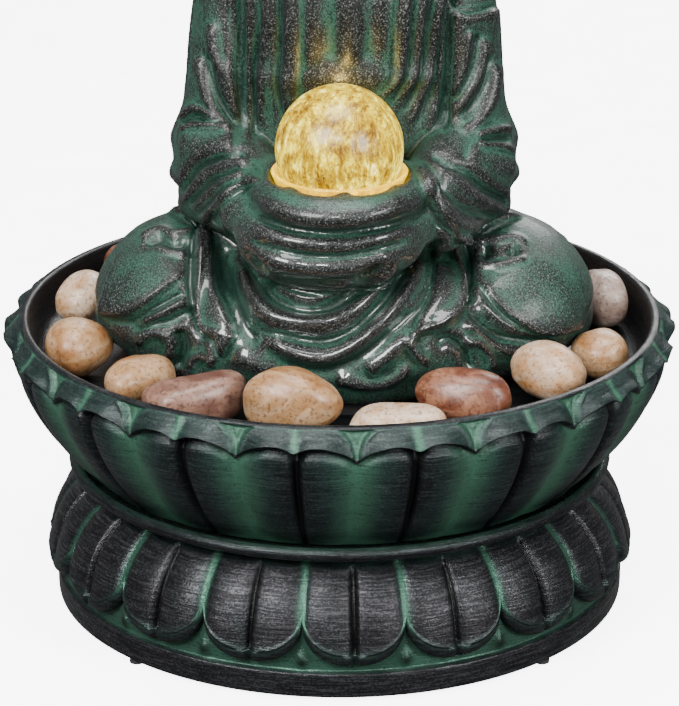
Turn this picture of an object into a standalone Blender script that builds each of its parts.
"""Tabletop water fountain: a seated robed figure holds a lit crystal ball over a lotus basin on a lotus pedestal.

Millimetre values are turned into metres by MM. The figure faces -Y and +Z is up.
The origin is at the middle of the underside of the foot pads.
"""
import math

import bmesh
import bpy
from mathutils import Matrix, Vector

MM = 0.001
GAP = 0.3                       # clearance between separate pieces

# Lotus relief shared by pedestal and basin
PETALS = 18
PETAL_PHASE = 2.8               # degrees, from -Y towards +X
LOBE_COLUMNS = 2                # mesh columns to each half petal
LOBE_POWER = 0.6                # lower is fuller lobes with tighter creases

# Pedestal
RING_RADIUS = 89.7
RING_BOTTOM = 1.5
RING_TOP = 9.3
PETAL_BULGE = 92.3
BEAD_RADIUS = 85.2
DECK_TOP = 46.3
DECK_INNER = 64.0
PAD_RADIUS = 2.3

# Basin
BASIN_BOTTOM = DECK_TOP + GAP
LIP_TIP = 104.6
LIP_NOTCH = 101.8
LIP_HEIGHT = 87.6
RIM_OUTER = 99.5
RIM_INNER = 97.0
RIM_TOP = 91.8
SHELF = 79.0
SHELF_THICKNESS = 4.0
WELL_CENTRE_Y = -18.0
WELL_RADIUS = 37.0
WELL_WALL = 4.0
WELL_FLOOR = 52.0
SCREW_CIRCLE = 69.0
SCREW_RADIUS = 1.5

# Figure
FIGURE_X = 1.5                  # the figure stands a little to one side of the bowl's axis
FIGURE_BASE = SHELF + GAP
FIGURE_VOXEL = 2.6
FIGURE_FACES = 3600
COVER_AXIS_Z = 114.0            # centre of the door's round top
COVER_RADIUS = 18.0
COVER_FOOT = 99.0
COVER_BACK_Y = 31.0             # the door's flat inner face
COVER_LEDGE = 3.0

# Ball group
BALL_Y = -38.0
BALL_Z = 156.0
BALL_RADIUS = 19.0
CUP_INNER = 20.0
CUP_OUTER = 21.5
CUP_RIM_Z = 149.0
CUP_HUB_BOTTOM = 132.3
POCKET_FLOOR = 126.5
POCKET_RADIUS = 15.0
HANDS_RADIUS = 26.0             # the hands that cup the ball are a casting of their own
HANDS_BOTTOM = 112.0
HANDS_BACK = -18.5
TORSO_Z = 150.3                 # the torso is bonded on here, just above the hands
CHANNEL_RADIUS = 9.0
NOZZLE_RADIUS = 2.5
NOZZLE_TOP = 135.6
BARB_BOTTOM = 120.0

# Pump
PUMP_Z = 73.0                   # rotor axis height
PUMP_BOTTOM = 60.0
PUMP_TOP = 86.0
PUMP_HALF_WIDTH = 18.0
MOTOR_FRONT = -47.0
MOTOR_BACK = -29.0
VOLUTE_BACK = -15.0
COVER_END = -3.0
OUTLET_Y = -23.5
OUTLET_TOP = 93.0
HOSE_OUTER = 4.6
HOSE_INNER = 3.6

# Power socket in the back of the pedestal
SOCKET_Z = 25.0
SOCKET_SEAT_Y = 86.0
GROMMET_Y = 12.0


def clear_scene():
    for old in list(bpy.data.objects):
        bpy.data.objects.remove(old, do_unlink=True)


def collection(name):
    group = bpy.data.collections.new(name)
    bpy.context.scene.collection.children.link(group)
    return group


clear_scene()
PARTS = collection("water_fountain")
CUTTERS = collection("cutters")


def material(name, color, roughness, metallic=0.0, transmission=0.0, glow=0.0):
    mat = bpy.data.materials.new(name)
    mat.use_nodes = True
    shader = mat.node_tree.nodes["Principled BSDF"]
    shader.inputs["Base Color"].default_value = (*color, 1.0)
    shader.inputs["Roughness"].default_value = roughness
    shader.inputs["Metallic"].default_value = metallic
    shader.inputs["Transmission Weight"].default_value = transmission
    shader.inputs["Emission Color"].default_value = (*color, 1.0)
    shader.inputs["Emission Strength"].default_value = glow
    mat.diffuse_color = (*color, 1.0)
    return mat


# ---------------------------------------------------------------- mesh helpers

def link(name, mesh, mat=None, group=None):
    obj = bpy.data.objects.new(name, mesh)
    (group or PARTS).objects.link(obj)
    if mat:
        mesh.materials.clear()
        mesh.materials.append(mat)
    return obj


def finish_bmesh(name, bm, mat=None, group=None, smooth=True):
    bm.normal_update()
    bmesh.ops.recalc_face_normals(bm, faces=bm.faces)
    mesh = bpy.data.meshes.new(name)
    bm.to_mesh(mesh)
    bm.free()
    if smooth:
        mesh.shade_smooth()
        mesh.set_sharp_from_angle(angle=math.radians(40))
    return link(name, mesh, mat, group)


def as_cutter(obj):
    for group in list(obj.users_collection):
        group.objects.unlink(obj)
    CUTTERS.objects.link(obj)
    obj.hide_render = True
    obj.display_type = 'WIRE'
    return obj


def boolean(obj, tool, operation):
    """Apply an exact boolean and take the tool object away."""
    modifier = obj.modifiers.new(operation.lower(), 'BOOLEAN')
    modifier.operation = operation
    modifier.solver = 'EXACT'
    modifier.object = as_cutter(tool)
    settle(obj)
    bpy.data.objects.remove(tool, do_unlink=True)


def settle(obj):
    """Replace an object's mesh with its evaluated one and drop the modifiers."""
    bpy.context.view_layer.update()
    graph = bpy.context.evaluated_depsgraph_get()
    mesh = bpy.data.meshes.new_from_object(obj.evaluated_get(graph), depsgraph=graph)
    mesh.name = obj.name
    obj.modifiers.clear()
    obj.data = mesh


def box(name, low, high, mat=None, group=None):
    bm = bmesh.new()
    bmesh.ops.create_cube(bm, size=1.0)
    size = [(high[i] - low[i]) * MM for i in range(3)]
    middle = [(high[i] + low[i]) * 0.5 * MM for i in range(3)]
    bm.transform(Matrix.Translation(middle) @ Matrix.Diagonal((*size, 1.0)))
    return finish_bmesh(name, bm, mat, group, smooth=False)


def rod(name, start, end, radius, mat=None, segments=24, group=None, end_radius=None):
    """A cylinder or cone from one point to another."""
    start = Vector(start) * MM
    end = Vector(end) * MM
    axis = end - start
    bm = bmesh.new()
    bmesh.ops.create_cone(bm, cap_ends=True, segments=segments, radius1=radius * MM,
                          radius2=(radius if end_radius is None else end_radius) * MM, depth=axis.length)
    turn = Vector((0, 0, 1)).rotation_difference(axis).to_matrix().to_4x4()
    bm.transform(Matrix.Translation((start + end) * 0.5) @ turn)
    return finish_bmesh(name, bm, mat, group)


def turned(name, profile, mat=None, segments=32, centre=(0, 0), group=None):
    """Revolve an outline of (radius, height) points about a vertical axis with a Screw modifier."""
    mesh = bpy.data.meshes.new(name)
    points = [(radius * MM, 0.0, height * MM) for radius, height in profile]
    edges = [(i, i + 1) for i in range(len(points) - 1)]
    if profile[0][0] > 0.0 or profile[-1][0] > 0.0:
        edges.append((len(points) - 1, 0))
    mesh.from_pydata(points, edges, [])
    obj = link(name, mesh, None, group)
    obj.location = (centre[0] * MM, centre[1] * MM, 0.0)
    screw = obj.modifiers.new("turn", 'SCREW')
    screw.steps = segments
    screw.render_steps = segments
    screw.use_merge_vertices = True
    screw.merge_threshold = 0.00001
    screw.use_smooth_shade = False
    settle(obj)
    if mat:
        obj.data.materials.clear()
        obj.data.materials.append(mat)
    obj.data.shade_smooth()
    obj.data.set_sharp_from_angle(angle=math.radians(40))
    return obj


def catmull(points, per_span):
    """A smooth run of points through the given ones."""
    ends = [points[0] * 2 - points[1]] + points + [points[-1] * 2 - points[-2]]
    path = []
    for i in range(1, len(ends) - 2):
        before, start, end, after = ends[i - 1:i + 3]
        for step in range(per_span):
            t = step / per_span
            path.append(0.5 * (2 * start + (end - before) * t
                               + (2 * before - 5 * start + 4 * end - after) * t * t
                               + (3 * start - before - 3 * end + after) * t * t * t))
    path.append(points[-1].copy())
    return path


def tube(name, route, radius, mat=None, per_span=4, resolution=2):
    """A solid round tube along a route, as a mesh with welded caps."""
    path = catmull([Vector(point) * MM for point in route], per_span)
    curve = bpy.data.curves.new(name, 'CURVE')
    curve.dimensions = '3D'
    curve.bevel_depth = radius * MM
    curve.bevel_resolution = resolution
    curve.use_fill_caps = True
    spline = curve.splines.new('POLY')
    spline.points.add(len(path) - 1)
    for point, place in zip(spline.points, path):
        point.co = (*place, 1.0)
    holder = link(name + "_route", curve)
    bpy.context.view_layer.update()
    graph = bpy.context.evaluated_depsgraph_get()
    mesh = bpy.data.meshes.new_from_object(holder.evaluated_get(graph), depsgraph=graph)
    bm = bmesh.new()
    bm.from_mesh(mesh)
    bmesh.ops.remove_doubles(bm, verts=bm.verts, dist=0.00001)
    bpy.data.objects.remove(holder, do_unlink=True)
    return finish_bmesh(name, bm, mat)


# ---------------------------------------------------------------- lotus castings

def lobe(angle):
    """0 in a crease and 1 on the crown of each half petal."""
    turn = math.radians(PETALS * (math.degrees(angle) - PETAL_PHASE))
    return abs(math.sin(turn)) ** LOBE_POWER


def petal_centre(angle):
    """1 at the middle of a basin petal and 0 between two petals."""
    turn = math.radians(PETALS * (math.degrees(angle) - PETAL_PHASE))
    return 0.5 - 0.5 * math.cos(turn)


def lotus_shell(name, profile, mat, closed):
    """Loft rings of (crease radius, height, lobe swell, tip swell) round the vertical axis."""
    columns = PETALS * 2 * LOBE_COLUMNS
    bm = bmesh.new()
    rings = []
    for radius, height, swell, tip in profile:
        if radius == 0.0:
            rings.append([bm.verts.new((0.0, 0.0, height * MM))])
            continue
        ring = []
        for column in range(columns):
            angle = math.radians(PETAL_PHASE) + column / columns * math.tau
            reach = (radius + swell * lobe(angle) + tip * petal_centre(angle)) * MM
            ring.append(bm.verts.new((reach * math.sin(angle), -reach * math.cos(angle), height * MM)))
        rings.append(ring)
    pairs = list(zip(rings, rings[1:]))
    if closed:
        pairs.append((rings[-1], rings[0]))
    for low, high in pairs:
        for i in range(columns):
            j = (i + 1) % columns
            corners = [low[i % len(low)], low[j % len(low)], high[j % len(high)], high[i % len(high)]]
            bm.faces.new(list(dict.fromkeys(corners)))
    return finish_bmesh(name, bm, mat)


def lotus_pedestal(mat):
    profile = [
        (RING_RADIUS, RING_BOTTOM, 0, 0), (RING_RADIUS, RING_TOP, 0, 0),
        (87.4, RING_TOP + 0.6, 0, 0), (87.2, 14.6, 0, 0),
        (89.2, 17.0, PETAL_BULGE - 89.2, 0), (89.0, 21.0, 3.3, 0), (86.6, 28.0, 3.6, 0),
        (82.2, 34.0, 3.2, 0), (76.8, 39.0, 1.6, 0), (77.2, 41.4, 0, 0),
        (82.2, 42.6, 0, 0), (BEAD_RADIUS, 44.7, 0, 0), (83.6, DECK_TOP, 0, 0),
        (DECK_INNER, DECK_TOP, 0, 0), (DECK_INNER, 42.0, 0, 0), (72.4, 41.6, 0, 0),
        (78.4, 33.0, 0, 0), (82.6, 26.0, 0, 0), (84.4, 16.0, 0, 0), (84.4, RING_BOTTOM, 0, 0)]
    shell = lotus_shell("lotus_pedestal", profile, mat, closed=True)
    boolean(shell, rod("seat", (0, SOCKET_SEAT_Y, SOCKET_Z), (0, 99, SOCKET_Z), 7.4, segments=32), 'DIFFERENCE')
    boolean(shell, rod("hole", (0, 74, SOCKET_Z), (0, 99, SOCKET_Z), 4.3), 'DIFFERENCE')
    for x, y in screw_places():
        boolean(shell, rod("hole", (x, y, 36), (x, y, 60), SCREW_RADIUS + GAP, segments=16), 'DIFFERENCE')
    return shell


def basin_wall():
    """Outline of the bowl, from the shelf's underside round the outside and back over the rim."""
    under = SHELF - SHELF_THICKNESS
    return [
        (0, under, 0, 0), (88.0, under, 0, 0), (84.0, 63.0, 0, 0), (77.0, 53.5, 0, 0),
        (65.5, 51.0, 0, 0), (65.5, BASIN_BOTTOM, 0, 0), (79.0, BASIN_BOTTOM, 0, 0), (82.0, 49.6, 0.4, 0),
        (88.4, 56.5, 2.0, 0), (94.6, 66.0, 3.0, 0), (99.2, 77.0, 3.2, 0), (100.9, 84.0, 2.4, 0.8),
        (LIP_NOTCH, LIP_HEIGHT, 0, LIP_TIP - LIP_NOTCH), (RIM_OUTER, RIM_TOP, 0, 0),
        (RIM_INNER, RIM_TOP + 0.2, 0, 0), (95.6, 86.0, 0, 0), (94.0, 81.4, 0, 0), (90.6, SHELF, 0, 0),
        (0, SHELF, 0, 0)]


def lotus_basin(mat):
    shell = lotus_shell("lotus_basin", basin_wall(), mat, closed=False)
    well_bottom = BASIN_BOTTOM + 0.6
    boolean(shell, rod("well", (0, WELL_CENTRE_Y, well_bottom), (0, WELL_CENTRE_Y, SHELF - 1),
                       WELL_RADIUS + WELL_WALL, segments=48), 'UNION')
    boolean(shell, rod("well", (0, WELL_CENTRE_Y, WELL_FLOOR), (0, WELL_CENTRE_Y, SHELF + 10),
                       WELL_RADIUS, segments=48), 'DIFFERENCE')
    boolean(shell, rod("hole", (0, GROMMET_Y, 40), (0, GROMMET_Y, 60), 4.0), 'DIFFERENCE')
    for x, y in screw_places():
        boolean(shell, rod("pilot", (x, y, 40), (x, y, 53), SCREW_RADIUS + GAP, segments=16), 'DIFFERENCE')
    return shell


def screw_places():
    places = []
    for step in range(3):
        angle = math.radians(30 + 120 * step)
        places.append((SCREW_CIRCLE * math.cos(angle), SCREW_CIRCLE * math.sin(angle)))
    return places


def basin_screws(mat):
    head_top = 41.2
    for number, (x, y) in enumerate(screw_places(), 1):
        profile = [(0, 52.0), (SCREW_RADIUS, 51.2), (SCREW_RADIUS, head_top), (2.8, head_top),
                   (2.4, head_top - 2.0), (0, head_top - 2.2)]
        turned(f"basin_screw_{number}", profile, mat, segments=16, centre=(x, y))


def foot_pads(mat):
    radius = (RING_RADIUS + 84.4) / 2
    for number in range(4):
        angle = math.radians(45 + 90 * number)
        place = (radius * math.cos(angle), radius * math.sin(angle))
        profile = [(0, RING_BOTTOM - GAP), (PAD_RADIUS, RING_BOTTOM - GAP), (PAD_RADIUS, 0.0), (0, 0.0)]
        turned(f"foot_pad_{number + 1}", profile, mat, segments=20, centre=place)


# ---------------------------------------------------------------- figure

# Each mass is (centre, radii); a pair is mirrored about the figure's own axis.
MIDDLE_MASSES = [
    ((0, -4, 86), (66, 45, 24)),        # crossed legs
    ((0, -33, 97), (45, 28, 21)),       # cloth over the shins
    ((0, 10, 106), (52, 30, 34)),       # hips
    ((0, 11, 160), (35, 28, 75)),       # trunk
    ((0, 12, 150), (44, 26, 60)),       # robe hanging down the back
    ((0, 4, 190), (36, 24, 32)),        # chest
    ((-2, -44, 131), (29, 19, 15)),     # joined hands
    ((0, 1, 258), (17.5, 20, 22.5)),    # head
    ((0, 5, 283), (10, 10, 9)),         # crown bump
]
PAIRED_MASSES = [
    ((50, -7, 99.5), (28.5, 28, 21)),   # knee
    ((42, -12, 134), (17, 24, 17)),     # hanging sleeve
    ((18.5, 4, 254), (2.8, 5, 12)),     # ear
]
# Each limb is (start, start radius, end, end radius).
MIDDLE_LIMBS = [((0, 8, 222), 13, (0, 4, 240), 10)]
PAIRED_LIMBS = [
    ((28, 10, 108), 20, (51, 0, 103), 20),          # thigh
    ((8, 8, 220), 11, (30, 8, 207), 14),            # shoulder
    ((30, 8, 208), 13.5, (39.5, 2, 150), 16),       # upper arm
    ((40, 0, 147), 15, (19, -42, 140), 10.5),       # forearm
]


def mirrored(point, side):
    return (point[0] * side + FIGURE_X, point[1], point[2])


def add_ball(bm, centre, radii):
    place = Matrix.Translation(Vector(centre) * MM) @ Matrix.Diagonal((*[r * MM for r in radii], 1.0))
    bmesh.ops.create_icosphere(bm, subdivisions=3, radius=1.0, matrix=place)


def add_limb(bm, start, start_radius, end, end_radius):
    limb = bmesh.new()
    add_ball(limb, start, (start_radius,) * 3)
    add_ball(limb, end, (end_radius,) * 3)
    hull = bmesh.ops.convex_hull(limb, input=limb.verts)
    spare = [item for item in hull["geom_interior"] if isinstance(item, bmesh.types.BMVert)]
    bmesh.ops.delete(limb, geom=spare, context='VERTS')
    mesh = bpy.data.meshes.new("limb")
    limb.to_mesh(mesh)
    limb.free()
    bm.from_mesh(mesh)
    bpy.data.meshes.remove(mesh)


def figure_solid():
    """All masses melted into one body by a voxel remesh, then thinned."""
    bm = bmesh.new()
    for centre, radii in MIDDLE_MASSES:
        add_ball(bm, mirrored(centre, 1), radii)
    for start, start_radius, end, end_radius in MIDDLE_LIMBS:
        add_limb(bm, mirrored(start, 1), start_radius, mirrored(end, 1), end_radius)
    for side in (-1, 1):
        for centre, radii in PAIRED_MASSES:
            add_ball(bm, mirrored(centre, side), radii)
        for start, start_radius, end, end_radius in PAIRED_LIMBS:
            add_limb(bm, mirrored(start, side), start_radius, mirrored(end, side), end_radius)
    obj = finish_bmesh("figure_shell", bm)
    melt = obj.modifiers.new("melt", 'REMESH')
    melt.mode = 'VOXEL'
    melt.voxel_size = FIGURE_VOXEL * MM
    relax = obj.modifiers.new("relax", 'SMOOTH')
    relax.iterations = 2
    settle(obj)
    thin = obj.modifiers.new("thin", 'DECIMATE')
    thin.ratio = FIGURE_FACES / (2 * len(obj.data.polygons))
    settle(obj)
    return obj


def door_tool(name, radius, foot, front, back=70.0):
    """A round-topped door shape running along Y."""
    outline = [(-radius, foot), (radius, foot)]
    for step in range(13):
        angle = math.pi * step / 12
        outline.append((radius * math.cos(angle), COVER_AXIS_Z + radius * math.sin(angle)))
    bm = bmesh.new()
    corners = [bm.verts.new(((FIGURE_X + x) * MM, front * MM, z * MM)) for x, z in outline]
    face = bm.faces.new(corners)
    grown = bmesh.ops.extrude_face_region(bm, geom=[face])
    moved = [item for item in grown["geom"] if isinstance(item, bmesh.types.BMVert)]
    bmesh.ops.translate(bm, verts=moved, vec=(0, (back - front) * MM, 0))
    return finish_bmesh(name, bm, smooth=False)


def ball_tool(centre, radii):
    bm = bmesh.new()
    add_ball(bm, centre, radii)
    return finish_bmesh("hollow", bm)


def cut_torso(solid):
    """Part the figure above the hands, leaving the legs and sleeves in the given body."""
    torso = link("figure_torso", solid.data.copy())
    boolean(torso, box("below", (-120, -120, 0), (120, 120, TORSO_Z)), 'DIFFERENCE')
    boolean(solid, box("above", (-120, -120, TORSO_Z - GAP), (120, 120, 400)), 'DIFFERENCE')
    return torso


def hands_tool(grow):
    """The round region about the ball's axis that the hands fill."""
    foot = (0, BALL_Y, HANDS_BOTTOM - grow)
    tool = rod("hands_region", foot, (0, BALL_Y, TORSO_Z + 5), HANDS_RADIUS + grow, segments=48)
    boolean(tool, box("behind", (-60, HANDS_BACK + grow, 0), (60, 60, 400)), 'DIFFERENCE')
    return tool


def cut_hands(solid):
    """Part the cupped hands from the sleeves and lap."""
    hands = link("cupped_hands", solid.data.copy())
    boolean(hands, hands_tool(0.0), 'INTERSECT')
    boolean(solid, hands_tool(GAP), 'DIFFERENCE')
    return hands


def figure_shell(mat):
    solid = figure_solid()
    boolean(solid, box("below", (-120, -120, 0), (120, 120, FIGURE_BASE)), 'DIFFERENCE')
    cover = link("rear_cover", solid.data.copy())
    boolean(cover, door_tool("door", COVER_RADIUS - GAP, COVER_FOOT + GAP, COVER_BACK_Y), 'INTERSECT')
    boolean(cover, ball_tool((FIGURE_X, 45, COVER_FOOT + 8), (7, 7, 3.5)), 'DIFFERENCE')
    hollow = ball_tool((FIGURE_X, -9, 78), (66, 41, 32))
    boolean(hollow, ball_tool((FIGURE_X, 9, 126), (24, 15, 46)), 'UNION')
    slant = rod("channel", (0, -28, 92), (0, BALL_Y, 120), CHANNEL_RADIUS)
    boolean(hollow, slant, 'UNION')
    boolean(hollow, rod("channel", (0, BALL_Y, 117), (0, BALL_Y, 130), CHANNEL_RADIUS), 'UNION')
    boolean(solid, hollow, 'DIFFERENCE')
    inner = door_tool("door", COVER_RADIUS - COVER_LEDGE, COVER_FOOT + COVER_LEDGE, 12)
    boolean(solid, inner, 'DIFFERENCE')
    boolean(solid, door_tool("door", COVER_RADIUS, COVER_FOOT, COVER_BACK_Y - GAP), 'DIFFERENCE')
    pocket = rod("pocket", (0, BALL_Y, POCKET_FLOOR), (0, BALL_Y, 145), POCKET_RADIUS, segments=32)
    boolean(solid, pocket, 'DIFFERENCE')
    boolean(solid, ball_tool((0, BALL_Y, BALL_Z), (CUP_OUTER + 0.7,) * 3), 'DIFFERENCE')
    for obj in (solid, cover, cut_torso(solid), cut_hands(solid)):
        obj.data.materials.clear()
        obj.data.materials.append(mat)
        obj.data.shade_smooth()
        obj.data.set_sharp_from_angle(angle=math.radians(40))


# ---------------------------------------------------------------- ball group

def crystal_ball(mat):
    bm = bmesh.new()
    bmesh.ops.create_uvsphere(bm, u_segments=24, v_segments=12, radius=BALL_RADIUS * MM)
    ball = finish_bmesh("crystal_ball", bm, mat)
    ball.location = (0, BALL_Y * MM, BALL_Z * MM)


def ball_cup(mat):
    """A clear spherical dish with a hub that slips over the nozzle."""
    steps = 4
    lowest = math.degrees(math.asin(8.0 / CUP_OUTER))
    highest = math.degrees(math.acos((BALL_Z - CUP_RIM_Z) / CUP_OUTER))
    outer = []
    for step in range(steps + 1):
        angle = math.radians(highest + (lowest - highest) * step / steps)
        outer.append((CUP_OUTER * math.sin(angle), BALL_Z - CUP_OUTER * math.cos(angle)))
    inner = []
    bore = NOZZLE_RADIUS + 0.6
    start = math.degrees(math.asin(bore / CUP_INNER))
    for step in range(steps + 2):
        angle = math.radians(start + (highest - start) * step / (steps + 1))
        inner.append((CUP_INNER * math.sin(angle), BALL_Z - CUP_INNER * math.cos(angle)))
    profile = outer + [(8.0, CUP_HUB_BOTTOM), (bore, CUP_HUB_BOTTOM)] + inner
    turned("ball_cup", profile, mat, segments=24, centre=(0, BALL_Y))


def water_nozzle(mat):
    flange = POCKET_FLOOR + GAP
    profile = [(NOZZLE_RADIUS, NOZZLE_TOP), (NOZZLE_RADIUS, flange + 1.5), (11.5, flange + 1.5),
               (11.5, flange), (3.0, flange), (3.0, BARB_BOTTOM), (1.5, BARB_BOTTOM), (1.5, NOZZLE_TOP)]
    nozzle = turned("water_nozzle", profile, mat, segments=20, centre=(0, BALL_Y))
    boolean(nozzle, rod("slot", (6.7, BALL_Y, 120), (6.7, BALL_Y, 131), 1.5, segments=16), 'DIFFERENCE')


def led_ring(mat):
    low = POCKET_FLOOR + GAP + 1.5 + GAP
    profile = [(13.6, low + 3.0), (13.6, low), (3.2, low), (3.2, low + 3.0)]
    turned("led_ring", profile, mat, segments=32, centre=(0, BALL_Y))


# ---------------------------------------------------------------- pump group

def pump_body(mat):
    body = box("pump_body", (-PUMP_HALF_WIDTH, MOTOR_FRONT, PUMP_BOTTOM),
               (PUMP_HALF_WIDTH, MOTOR_BACK, PUMP_TOP), mat)
    round_edges(body, 3.0)
    boolean(body, rod("well", (0, MOTOR_FRONT + 3, PUMP_Z), (0, MOTOR_BACK + 5, PUMP_Z), 7.5), 'DIFFERENCE')


def round_edges(obj, width):
    bevel = obj.modifiers.new("round", 'BEVEL')
    bevel.width = width * MM
    bevel.segments = 2
    settle(obj)


def pump_volute(mat):
    front = MOTOR_BACK + GAP
    block = box("pump_volute", (-15, front, PUMP_BOTTOM), (15, VOLUTE_BACK, PUMP_TOP), mat)
    boolean(block, rod("nipple", (0, OUTLET_Y, PUMP_TOP - 1), (0, OUTLET_Y, OUTLET_TOP), 3.0, segments=16), 'UNION')
    boolean(block, rod("chamber", (0, front - 1, PUMP_Z), (0, VOLUTE_BACK - 3, PUMP_Z), 11.0), 'DIFFERENCE')
    boolean(block, rod("inlet", (0, front, PUMP_Z), (0, VOLUTE_BACK + 1, PUMP_Z), 5.0), 'DIFFERENCE')
    boolean(block, rod("outlet", (0, OUTLET_Y, PUMP_Z), (0, OUTLET_Y, OUTLET_TOP + 1), 2.0, segments=16), 'DIFFERENCE')


def pump_impeller(mat):
    """Magnet rotor, hub and six vanes in one piece, with its origin on the spin axis."""
    rotor = rod("pump_impeller", (0, MOTOR_FRONT + 4, PUMP_Z), (0, MOTOR_BACK + 1.5, PUMP_Z), 6.6, mat)
    boolean(rotor, rod("hub", (0, MOTOR_BACK + 1, PUMP_Z), (0, VOLUTE_BACK - 4.2, PUMP_Z), 2.2, segments=16), 'UNION')
    for number in range(3):
        bm = bmesh.new()
        bmesh.ops.create_cube(bm, size=1.0)
        place = Matrix.Translation(Vector((0, MOTOR_BACK + 5.6, PUMP_Z)) * MM)
        turn = Matrix.Rotation(math.radians(60 * number), 4, 'Y')
        bm.transform(place @ turn @ Matrix.Diagonal((18 * MM, 8.2 * MM, 1.4 * MM, 1.0)))
        boolean(rotor, finish_bmesh("vane", bm), 'UNION')
    centre_on(rotor, (0, MOTOR_BACK, PUMP_Z))


def centre_on(obj, point):
    """Move an object's origin to a point without moving its shape."""
    place = Vector(point) * MM
    obj.data.transform(Matrix.Translation(-place) @ obj.matrix_world)
    obj.matrix_world = Matrix.Translation(place)


def pump_cover(mat):
    front = VOLUTE_BACK + GAP
    tray = box("pump_cover", (-PUMP_HALF_WIDTH, front, PUMP_BOTTOM), (PUMP_HALF_WIDTH, COVER_END, PUMP_TOP), mat)
    boolean(tray, box("inside", (-16, front - 1, PUMP_BOTTOM + 2), (16, COVER_END - 2, PUMP_TOP - 2)), 'DIFFERENCE')
    for x in (-13, -9, 9, 13):
        slot = box("slot", (x - 1.1, COVER_END - 4, PUMP_BOTTOM + 4), (x + 1.1, COVER_END + 1, PUMP_TOP - 4))
        boolean(tray, slot, 'DIFFERENCE')
    boolean(tray, rod("hole", (0, COVER_END - 4, PUMP_Z), (0, COVER_END + 1, PUMP_Z), 2.4, segments=16), 'DIFFERENCE')


def flow_dial(mat):
    start = COVER_END + GAP
    dial = rod("flow_dial", (0, start, PUMP_Z), (0, start + 2, PUMP_Z), 6.0, mat, segments=24)
    boolean(dial, rod("stub", (0, COVER_END - 4, PUMP_Z), (0, start + 1, PUMP_Z), 2.0, segments=16), 'UNION')
    boolean(dial, box("grip", (-5, start + 1, PUMP_Z - 1), (5, start + 4, PUMP_Z + 1)), 'UNION')
    centre_on(dial, (0, COVER_END, PUMP_Z))


def suction_cups(mat):
    number = 0
    for x in (-10, 10):
        for y in (MOTOR_FRONT + 6, VOLUTE_BACK - 7):
            number += 1
            profile = [(0, PUMP_BOTTOM - GAP), (3.0, PUMP_BOTTOM - GAP), (2.2, 56.0), (6.0, WELL_FLOOR + 1.2),
                       (6.0, WELL_FLOOR + GAP), (0, WELL_FLOOR + GAP)]
            turned(f"suction_cup_{number}", profile, mat, segments=20, centre=(x, y))


def feed_hose(mat):
    """Hollow hose from the pump outlet to the nozzle, both of which reach into its ends."""
    low = PUMP_TOP + GAP
    high = POCKET_FLOOR - 1.0
    route = [(0, OUTLET_Y, low), (0, OUTLET_Y, low + 9), (0, -27.5, 104), (0, -34.0, 112),
             (0, BALL_Y, high - 7), (0, BALL_Y, high)]
    hose = tube("feed_hose", route, HOSE_OUTER, mat, per_span=3)
    below = [(0, OUTLET_Y, low - 3)]
    above = [(0, BALL_Y, high + 3)]
    boolean(hose, tube("bore", below + route + above, HOSE_INNER, per_span=3), 'DIFFERENCE')


# ---------------------------------------------------------------- leads and socket

def leads(mat, rubber):
    led_bottom = POCKET_FLOOR + 2 * GAP + 1.2
    tube("led_lead", [(6.7, BALL_Y, led_bottom), (6.7, BALL_Y, 116), (6.6, -34.5, 106), (7, -33.5, 97),
                      (8, -34, 90), (8, -34, PUMP_TOP + 2 * GAP)], 1.1, mat, per_span=3, resolution=1)
    tube("pump_lead", [(PUMP_HALF_WIDTH + GAP, -38, 66), (23, -37, 65.5), (28, -30, 60), (27, -12, 56.4),
                       (19, 2, 55.8), (11, 11, 56.8), (5.6, 14.4, 60.2), (1.6, 13.2, 61.8),
                       (0.1, 12.1, 60.2), (0, GROMMET_Y, 57.8)],
         1.6, mat, per_span=3, resolution=1)
    tube("under_lead", [(0, GROMMET_Y, 44.4), (0, 14, 38), (4, 24, 31), (12, 40, 27), (10, 56, 25),
                        (2, 66, SOCKET_Z), (0, 73.4, SOCKET_Z)], 1.6, mat, per_span=3, resolution=1)
    profile = [(0, 57.3), (2.6, 57.3), (3.6, 53.6), (6.0, 53.6), (6.0, WELL_FLOOR + GAP),
               (3.7, WELL_FLOOR + GAP), (3.7, 46.9), (5.4, 46.9), (3.6, 44.7), (0, 44.7)]
    turned("cable_grommet", profile, rubber, segments=24, centre=(0, GROMMET_Y))


def dc_socket(mat):
    seat = SOCKET_SEAT_Y + GAP
    socket = rod("dc_socket", (0, seat, SOCKET_Z), (0, seat + 1.8, SOCKET_Z), 6.6, mat, segments=32)
    boolean(socket, rod("barrel", (0, 73.7, SOCKET_Z), (0, seat + 0.5, SOCKET_Z), 4.0), 'UNION')
    boolean(socket, rod("jack", (0, 78, SOCKET_Z), (0, seat + 3, SOCKET_Z), 2.8), 'DIFFERENCE')
    boolean(socket, rod("pin", (0, 77, SOCKET_Z), (0, seat + 0.8, SOCKET_Z), 0.9, segments=12), 'UNION')


# ---------------------------------------------------------------- stones

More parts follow.
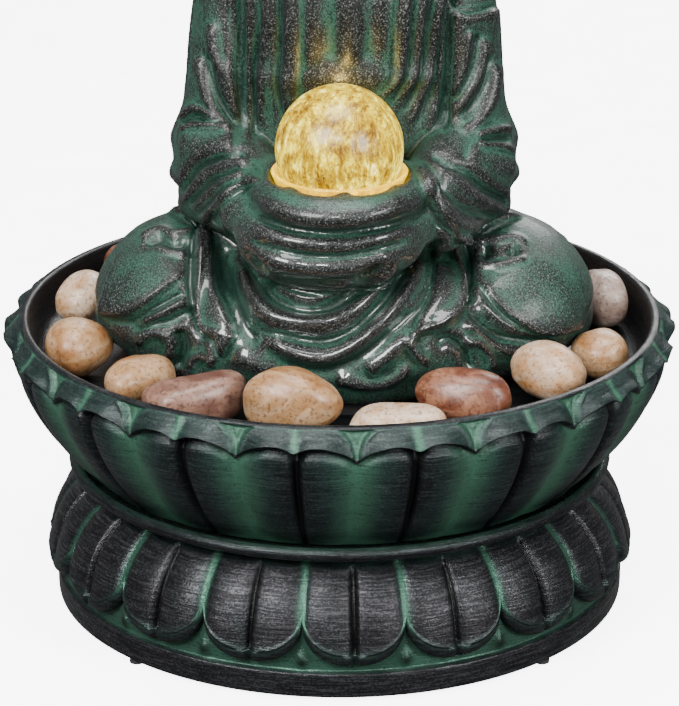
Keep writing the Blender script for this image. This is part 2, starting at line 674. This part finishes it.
# Each stone is (x, y, half length, half depth, half height, turn in degrees, material).
STONES = [
    (-83.5, 19, 12.0, 7.2, 8.6, 76, "cream"),
    (-80.6, -24, 12.2, 8.8, 8.4, 72, "tan"),
    (-61.0, -45, 11.0, 8.2, 6.8, 52, "tan"),
    (-42.5, -64.5, 14.6, 8.0, 7.6, 22, "mauve"),
    (-13.8, -72.5, 14.2, 9.4, 10.4, 4, "tan"),
    (16.8, -80.5, 14.2, 7.6, 6.6, -8, "cream"),
    (38.0, -62.5, 14.4, 7.8, 9.2, -24, "russet"),
    (62.8, -46.0, 13.0, 9.0, 8.8, -44, "cream"),
    (79.6, -25.0, 10.2, 8.4, 7.4, -68, "tan"),
    (84.0, 19, 12.5, 7.4, 9.2, -76, "grey"),
    (66.0, 51.5, 11.5, 8.2, 9.8, -128, "grey"),
    (46.5, 68, 12.6, 8.0, 8.0, -148, "cream"),
    (17.0, 79, 14.0, 8.2, 8.6, -168, "russet"),
    (-14.6, 80, 13.4, 8.0, 7.2, 170, "tan"),
    (-44.0, 69, 13.4, 8.4, 8.2, 148, "mauve"),
    (-67.0, 48, 12.0, 8.0, 8.2, 126, "russet"),
]


def stone(number, spec, mats):
    x, y, half_length, half_depth, half_height, turn, slot = spec
    bm = bmesh.new()
    bmesh.ops.create_uvsphere(bm, u_segments=12, v_segments=7, radius=1.0)
    for vert in bm.verts:
        lean = 0.10 * math.sin(2.3 * number) * vert.co.x
        vert.co.z += lean * (1.0 - vert.co.z ** 2)
        vert.co.y *= 1.0 - 0.16 * math.cos(1.7 * number) * vert.co.x
    lowest = min(vert.co.z for vert in bm.verts)
    size = Matrix.Diagonal((half_length * MM, half_depth * MM, half_height * MM, 1.0))
    bm.transform(Matrix.Rotation(math.radians(turn), 4, 'Z') @ size)
    pebble = finish_bmesh(f"pebble_{number:02d}", bm, mats[slot])
    rest = SHELF + GAP - lowest * half_height
    pebble.location = (x * MM, y * MM, rest * MM)


def main():
    resin = material("verdigris_resin", (0.08, 0.22, 0.16), 0.45)
    dark_resin = material("dark_resin", (0.05, 0.08, 0.08), 0.5)
    rubber = material("rubber", (0.03, 0.03, 0.03), 0.8)
    steel = material("steel", (0.6, 0.6, 0.6), 0.3, metallic=1.0)
    crystal = material("crystal", (1.0, 0.78, 0.25), 0.1, transmission=0.6, glow=2.0)
    clear = material("clear_plastic", (0.9, 0.7, 0.5), 0.1, transmission=0.9)
    black = material("black_plastic", (0.03, 0.03, 0.035), 0.5)
    grey = material("grey_plastic", (0.3, 0.3, 0.32), 0.5)
    lamp = material("led_emitter", (1.0, 0.8, 0.4), 0.3, glow=5.0)
    stones = {
        "cream": material("stone_cream", (0.75, 0.65, 0.52), 0.35),
        "tan": material("stone_tan", (0.62, 0.45, 0.28), 0.35),
        "mauve": material("stone_mauve", (0.42, 0.28, 0.24), 0.35),
        "russet": material("stone_russet", (0.35, 0.15, 0.09), 0.35),
        "grey": material("stone_grey", (0.45, 0.38, 0.36), 0.35),
    }
    lotus_pedestal(dark_resin)
    lotus_basin(dark_resin)
    basin_screws(steel)
    foot_pads(rubber)
    figure_shell(resin)
    crystal_ball(crystal)
    ball_cup(clear)
    water_nozzle(clear)
    led_ring(lamp)
    pump_body(black)
    pump_volute(grey)
    pump_impeller(grey)
    pump_cover(black)
    flow_dial(grey)
    suction_cups(rubber)
    feed_hose(clear)
    leads(black, rubber)
    dc_socket(black)
    for number, spec in enumerate(STONES, 1):
        stone(number, spec, stones)


main()
